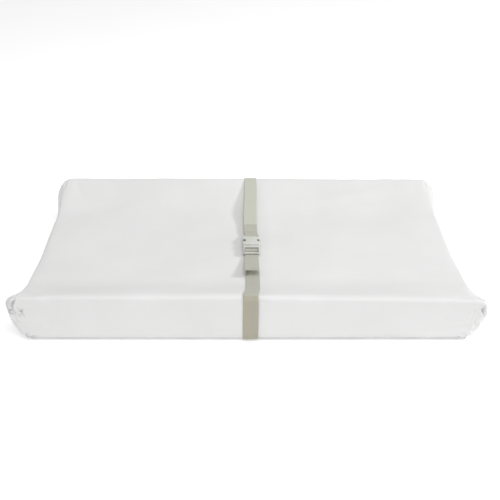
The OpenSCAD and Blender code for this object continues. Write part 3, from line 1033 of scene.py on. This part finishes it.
def front_route():
    side = over_top(STRAP_X)
    side[:, 0] += smooth((side[:, 0] - (SIDE_Y - 0.02)) / 0.015) * belly(side[:, 1])
    side[:, 1] -= 0.0004 * smooth((side[:, 0] - 0.11) / 0.07) * smooth((side[:, 1] - 0.05) / 0.035)
    stop = -(MOUTH_Y - 0.0145) + 0.001
    line = [(SIDE_Y - 0.058, 0.00225), (SIDE_Y - 0.02, 0.00225), (SIDE_Y - 0.006, 0.00235),
            (SIDE_Y + 0.0005, 0.0042)]
    line += [tuple(p) for p in side if p[0] > stop + 0.006]
    line.append((stop, VALLEY_Z + LIFT))
    return [(-y, z) for y, z in line]


def rear_route():
    side = over_top(STRAP_X)
    t = 0.02
    start = CREST_R + CREST_FLAT
    top = np.array([SIDE_Y - start - (SLOPE_FOOT - start) * t + 0.0002,
                    CREST_Z - fall(t) * (CREST_Z - VALLEY_Z - VALLEY_SAG) + LIFT + 0.0001])
    foot = np.array([LOOP_BAR_Y + 0.012, LOOP_BAR_Z - 0.002 - LIFT - 0.0006])
    loop_r = 0.002 + LIFT
    rear_z = fold_lo.z + STRAP_T / 2

    def on_span(s):
        return foot + (top - foot) * s - np.array([0, 0.003 * 4 * s * (1 - s)])

    line = [(SIDE_Y - 0.03, rear_z), (SIDE_Y - 0.006, rear_z)]
    line += arc((SIDE_Y + LIFT - TURN_R, rear_z + TURN_R), TURN_R, -90, 0, 4)
    line += [tuple(p) for p in side if p[0] > top[0] + 0.002 and p[1] > rear_z + 0.006]
    line += [tuple(on_span(s)) for s in np.linspace(1, 0, 12)]
    line += arc((LOOP_BAR_Y, LOOP_BAR_Z), loop_r, -90, -270, 8)
    fold = FOLD_L / (top[0] - foot[0])
    line.append((LOOP_BAR_Y + 0.006, LOOP_BAR_Z + loop_r - 0.0006))
    line += [tuple(on_span(fold * i / 5) + [-0.001, STRAP_T + 0.0002]) for i in range(1, 6)]
    return line, [on_span(fold * s) + [-0.001, STRAP_T + 0.0002] for s in (0.3, 0.6, 0.97)]


def tail_route():
    bar_y, bar_z, bar_r = MOUTH_Y - 0.0145, BUCKLE_Z + 0.0049, 0.0016 + LIFT
    front_y, front_z = MOUTH_Y - 0.0226, BUCKLE_Z + 0.0047
    low = front_z - 0.0019 - LIFT
    tip_y = tail_lo.y
    line = [(bar_y + bar_r, bar_z - 0.002)]
    line += arc((bar_y, bar_z), bar_r, 0, 180, 8)
    line += [(front_y + 0.0034, front_z - 0.0026), (front_y, low)]
    line += [(front_y + (tip_y - front_y) * t, low + 0.014 * t ** 1.6) for t in np.linspace(0, 1, 9)[1:]]
    return line


STITCH_SIDES = 6
STITCH_R = 0.00022


def stitch(points, radius, name, body, material, replaced=()):
    """A row of short rounded stitches, each between two points."""
    verts, faces = [], []
    n = STITCH_SIDES
    for a, b in points:
        a, b = Vector(a), Vector(b)
        run = (b - a).normalized()
        side = run.orthogonal().normalized()
        other = run.cross(side)
        start = len(verts)
        rings = ((0, 0.35), (0.12, 0.9), (0.5, 1.15), (0.88, 0.9), (1, 0.35))
        for t, r in rings:
            for turn in np.arange(n) * 2 * math.pi / n:
                out = side * math.cos(turn) + other * math.sin(turn)
                verts.append(a.lerp(b, t) + out * radius * r)
        faces += tube_faces(start, n, len(rings))
    obj = new_object(name, verts, faces)
    smooth_shade(obj)
    place(obj, material, body, "thread", *replaced)


def front_drift(path):
    """The belt runs a little askew over the front side."""
    return 0.0008 * smooth((-path[:, 0] - 0.04) / 0.05) - 0.0045 * smooth((-path[:, 0] - 0.16) / 0.06)


def rear_drift(path):
    return -0.0012 * smooth((0.19 - path[:, 0]) / 0.1) * smooth((path[:, 0] - 0.034) / 0.02)


def tail_drift(path):
    return -0.0012 * smooth((MOUTH_Y - 0.026 - path[:, 0]) / 0.03)


def tint(obj, material, wanted):
    """Gives a second material to the faces whose middle passes a test."""
    obj.data.materials.append(material)
    for face in obj.data.polygons:
        if wanted(face.center):
            face.material_index = len(obj.data.materials) - 1


front_belt = ribbon("front_belt", front_route(), 0.0003, 2, front_drift)
# The belt down the front side gets the darker copy: painted shade
tint(front_belt, WEBBING_PAINTED_SHADE, lambda c: c.y < -SIDE_Y + 0.004)
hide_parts("strap_front")
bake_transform(front_belt)
rear_line, fold_marks = rear_route()
rear_belt = ribbon("rear_belt", rear_line, 0.00025, 3, rear_drift)
fold_end = fold_marks[-1][0]
# The rear belt's single layer, past its sewn fold, gets the lighter copy: painted light
tint(rear_belt, WEBBING_PAINTED_LIGHT, lambda c: c.y > fold_end + 0.002 or c.z > VALLEY_Z + 0.030)
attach(rear_belt, "pad")
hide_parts("strap_rear")
tail_belt = ribbon("loose_end", tail_route(), 0.0002, 4, tail_drift)
place(tail_belt, WEBBING, "plug", "webbing", "strap_tail")


def across_rows(centre, slope, offsets, half):
    """Stitches across the webbing at some distances along it from a (y, z) point."""
    found = []
    for far in offsets:
        y, z = centre[0] + far * math.cos(slope), centre[1] + far * math.sin(slope)
        for x in np.arange(-half, half, 0.0032):
            found.append(((STRAP_X + x, y, z), (STRAP_X + x + 0.0024, y, z)))
    return found


def along_rows(centre, slope, reach, sides):
    found = []
    for x in sides:
        for far in np.arange(-reach, reach, 0.0034):
            ends = [(STRAP_X + x, centre[0] + f * math.cos(slope), centre[1] + f * math.sin(slope))
                    for f in (far, far + 0.0024)]
            found.append(ends)
    return found


def belt_stitches():
    middle, end = fold_marks[1:]
    slope = math.atan2(end[1] - middle[1], end[0] - middle[0])
    centre = middle + [0.0, STRAP_T / 2 + 0.00005]
    rows = across_rows(centre, slope, (-0.009, 0.009), 0.0105)
    rows += along_rows(centre, slope, 0.009, (-0.0102, 0.0102))
    stitch(rows, STITCH_R, "belt_stitching", "pad", THREAD, ("strap_stitching",))
    line = np.array(tail_route())
    slope = math.atan2(line[-2][1] - line[-1][1], line[-2][0] - line[-1][0])
    centre = line[-1] + [0.004, 0.004 * math.tan(slope) + 2 * STRAP_T / 2 + 0.00005]
    rows = across_rows(centre, slope, (0.0, 0.005), 0.0105)
    stitch(rows, STITCH_R, "hem_stitching", "plug", THREAD, ("tail_stitching",))


belt_stitches()

# ---- moulded and metal parts: the CAD shapes with their edges rounded ----


def flatten(bm):
    """Joins a CAD mesh's triangles into flat faces."""
    bmesh.ops.remove_doubles(bm, verts=bm.verts, dist=0.000002)
    bmesh.ops.dissolve_limit(bm, angle_limit=math.radians(1), verts=bm.verts, edges=bm.edges)


def softened(node, width):
    """A copy of a CAD node with flat faces joined up and its edges rounded."""
    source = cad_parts[node]
    obj = copied(source, node + "_moulded")
    edit_mesh(obj, flatten)
    bevel = obj.modifiers.new("round", "BEVEL")
    bevel.width = width
    bevel.segments = 3
    bevel.limit_method = "ANGLE"
    bevel.angle_limit = math.radians(32)
    bevel.use_clamp_overlap = True
    apply_modifiers(obj)
    smooth_shade(obj, 40)
    return obj


HARDWARE = [
    ("buckle_socket", "pad", "buckle", PLASTIC, 0.0005),
    ("buckle_plug", "plug", "buckle", PLASTIC, 0.0004),
    # The prongs take the near-black plastic: painted shade in the socket's side windows
    ("prong_left", "prong_left", "buckle", PLASTIC_PAINTED_SHADE, 0.0004),
    ("prong_right", "prong_right", "buckle", PLASTIC_PAINTED_SHADE, 0.0004),
    ("zip_slider", "slider", "zip_metal", METAL, 0.00025),
    ("zip_pull", "pull", "zip_metal", METAL, 0.00025),
    ("zip_stops", "pad", "zip_metal", METAL, 0.00025),
    ("anchor_eyelet_left", "anchor_left", "eyelet", NICKEL, 0.00015),
    ("anchor_eyelet_right", "anchor_right", "eyelet", NICKEL, 0.00015),
]
for node, body, slot, material, width in HARDWARE:
    made = softened(node, width)
    place(made, material, body, slot, node)


EYE_HOLE = 0.0045


def anchor_tab(side_name, sign, *roots):
    """A webbing tab from under the pad, up its rear side, with a hole for its eyelet."""
    low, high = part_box("anchor_tab_" + side_name)
    eye_lo, eye_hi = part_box("anchor_eyelet_" + side_name)
    x = (low.x + high.x) / 2
    y = (low.y + high.y) / 2
    root_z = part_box("anchor_roots")[0].z + STRAP_T / 2
    line = [(SIDE_Y - 0.031, root_z), (SIDE_Y - 0.015, root_z), (SIDE_Y - 0.003, root_z)]
    line += arc((y - TURN_R, root_z + TURN_R), TURN_R, -70, 0, 3)
    line += [(y, root_z + 0.006 + 0.004 * i) for i in range(9)]
    line += [(y, high.z)]
    tab = ribbon("anchor_webbing_" + side_name, line, 0.0001, 5 + sign, None, x)
    eye = Vector(((eye_lo.x + eye_hi.x) / 2, (eye_lo.z + eye_hi.z) / 2))

    def punch(bm):
        for face in list(bm.faces):
            middle = face.calc_center_median()
            if (middle.xz - eye).length < EYE_HOLE and middle.y > SIDE_Y:
                bm.faces.remove(face)

    edit_mesh(tab, punch)
    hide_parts("anchor_tab_" + side_name, *roots)
    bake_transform(tab)


anchor_tab("left", -1, "anchor_roots")
anchor_tab("right", 1)


def prism_rows(name, places, outline, y0, y1):
    """Many like pieces: an outline in x and z at each place, from y0 to y1, with eased edges."""
    verts, faces = [], []
    count = len(outline)
    levels = ((y0, 0.8), (y0 + (y1 - y0) * 0.2, 1), (y0 + (y1 - y0) * 0.8, 1), (y1, 0.8))
    for px, pz in places:
        start = len(verts)
        for y, share in levels:
            verts += [(px + x * share, y, pz + z * share) for x, z in outline]
        faces += tube_faces(start, count, len(levels))
    obj = new_object(name, verts, faces)
    smooth_shade(obj, 40)
    return obj


def zip_teeth():
    """Two rows of teeth that mesh along the zip's middle line."""
    tooth = [(0.0005, -0.0009), (0.0005, 0.0006), (0.0007, 0.0009), (-0.0007, 0.0009),
             (-0.0005, 0.0006), (-0.0005, -0.0009)]
    places = []
    xs = np.arange(chain_lo.x + 0.001, chain_hi.x - 0.001, 0.0015)
    for row in (-1, 1):
        places += [(x + row * 0.00036, ZIP_Z + row * 0.00085) for x in xs]
    obj = prism_rows("zip_teeth", places, tooth, chain_lo.y, chain_hi.y)
    place(obj, COIL, "pad", "zip_chain", "zip_chain")


def zip_tapes():
    """The two woven tapes that carry the teeth: thin, a little wavy, thicker at the outer edge."""
    low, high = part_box("zip_tape")
    y, half_t = (low.y + high.y) / 2, (high.y - low.y) / 2
    xs = np.linspace(low.x, high.x, 200)
    verts, faces = [], []
    for sign in (-1, 1):
        zs = np.linspace((chain_hi.z - chain_lo.z) / 2, (high.z - low.z) / 2, 10)
        thick = half_t * np.where(np.arange(10) == 8, 1.0, 0.75)
        section = list(zip(zs, thick)) + list(zip(zs[::-1], -thick[::-1]))
        start, count = len(verts), len(section)
        for x in xs:
            for z, t in section:
                sway = 0.0001 * math.sin(x * 140 + sign) * (abs(z) - 0.0019) / 0.012
                verts.append((x, y + t + sway, ZIP_Z + sign * z))
        faces += tube_faces(start, count, len(xs))
    obj = new_object("zip_tapes", verts, faces)
    weld(obj, 0.000001)
    smooth_shade(obj, 50)
    place(obj, TAPE, "pad", "zip_tape", "zip_tape")


DOT_PITCH = 0.015


def grip_dots():
    """Small raised dots in staggered rows under the pad, which it stands on."""
    verts, faces = [], []
    ring = [(math.cos(k * math.pi / 4), math.sin(k * math.pi / 4)) for k in range(8)]
    for i, y in enumerate(np.arange(-0.195, 0.196, DOT_PITCH)):
        for x in np.arange(-0.345 + DOT_PITCH / 2 * (i % 2), 0.346, DOT_PITCH):
            start = len(verts)
            for radius, z in ((0.0014, 0), (0.0020, 0.0001), (0.0022, BASE_LIFT + 0.0002)):
                verts += [(x + radius * c, y + radius * s, z) for c, s in ring]
            faces += tube_faces(start, 8, 3)
    obj = new_object("grip_dots", verts, faces)
    smooth_shade(obj, 50)
    place(obj, DOTS, "pad", "base")


def cloth_patch(name, node, body, slot, material, bulge, seed):
    """A small sewn piece in place of a CAD plate: slightly uneven, edges turned."""
    low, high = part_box(node)
    steps_x, steps_z = 28, 20
    verts, faces = [], []
    xs = np.linspace(low.x, high.x, steps_x + 1)
    zs = np.linspace(low.z, high.z, steps_z + 1)
    rng = np.random.default_rng(seed)
    phase = rng.uniform(0, 6.3, 4)
    for y0, lift in ((high.y, 1), (low.y, 0)):
        for z in zs:
            for x in xs:
                u, v = (x - low.x) / (high.x - low.x), (z - low.z) / (high.z - low.z)
                edge = min(u, 1 - u, v, 1 - v)
                swell = bulge * lift * (min(edge / 0.12, 1) ** 0.5 - 0.6)
                wave = 0.5 * bulge * lift * math.sin(9 * u + phase[0]) * math.sin(6 * v + phase[1])
                verts.append((x, y0 + swell + wave, z))
    across = steps_x + 1
    layer = across * (steps_z + 1)
    for i in range(steps_z):
        for j in range(steps_x):
            a = i * across + j
            faces.append((a, a + across, a + across + 1, a + 1))
            faces.append((a + layer, a + layer + 1, a + layer + across + 1, a + layer + across))
    grid = np.arange(layer).reshape(-1, across)
    rim = [*grid[0], *grid[1:, -1], *grid[-1, -2::-1], *grid[-2:0:-1, 0]]
    for k, a in enumerate(rim):
        b = rim[(k + 1) % len(rim)]
        faces.append((a, b, b + layer, a + layer))
    obj = new_object(name, verts, faces)
    weld(obj, 0.000001)
    smooth_shade(obj, 50)
    place(obj, material, body, slot, node)
    return obj


def edge_rows(low, high, inset, pitch):
    """Stitches round a plate in the x-z plane, a little in from its edges."""
    y = high.y + 0.0001
    corners = [(low.x + inset, low.z + inset), (high.x - inset, low.z + inset),
               (high.x - inset, high.z - inset), (low.x + inset, high.z - inset)]
    rows = []
    for k in range(4):
        a, b = np.array(corners[k]), np.array(corners[(k + 1) % 4])
        count = max(int(np.linalg.norm(b - a) / pitch), 1)
        for i in range(count):
            p, q = a + (b - a) * (i + 0.12) / count, a + (b - a) * (i + 0.85) / count
            rows.append(((p[0], y, p[1]), (q[0], y, q[1])))
    return rows


zip_teeth()
zip_tapes()
grip_dots()
label = cloth_patch("care_label_sheet", "care_label", "pad", "label", LABEL, 0.00015, 21)
label_lo, label_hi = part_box("care_label")
label_rows = edge_rows(label_lo, label_hi, 0.002, 0.003)
stitch(label_rows, 0.00018, "label_stitching", "pad", WHITE_THREAD)

# ---- floor and light ----


FLOOR = 60
WORLD = 0.52


def make_floor():
    corners = [(x * FLOOR, y * FLOOR, 0) for x, y in ((-1, -1), (1, -1), (1, 1), (-1, 1))]
    floor = new_object("floor", corners, [(0, 1, 2, 3)])
    dress(floor, floor_material())


def area_light(name, place_at, aim, size, power):
    data = bpy.data.lights.new(name, "AREA")
    data.shape = "RECTANGLE"
    data.size, data.size_y = size
    data.energy = power
    light = bpy.data.objects.new(name, data)
    light.location = place_at
    light.rotation_euler = (Vector(aim) - Vector(place_at)).to_track_quat("-Z", "Y").to_euler()
    scene.collection.objects.link(light)


def make_light():
    world = bpy.data.worlds.new("studio")
    world.use_nodes = True
    background = world.node_tree.nodes["Background"]
    background.inputs["Color"].default_value = (1, 1, 1, 1)
    background.inputs["Strength"].default_value = WORLD
    scene.world = world
    area_light("key", (4.25, 0.19, 2.56), (0, 0, 0.05), (0.85, 0.85), 98)
    area_light("top", (0.12, -0.92, 2.28), (0, 0, 0), (1.8, 1.4), 24.5)
    scene.view_settings.view_transform = "Standard"


make_floor()
make_light()
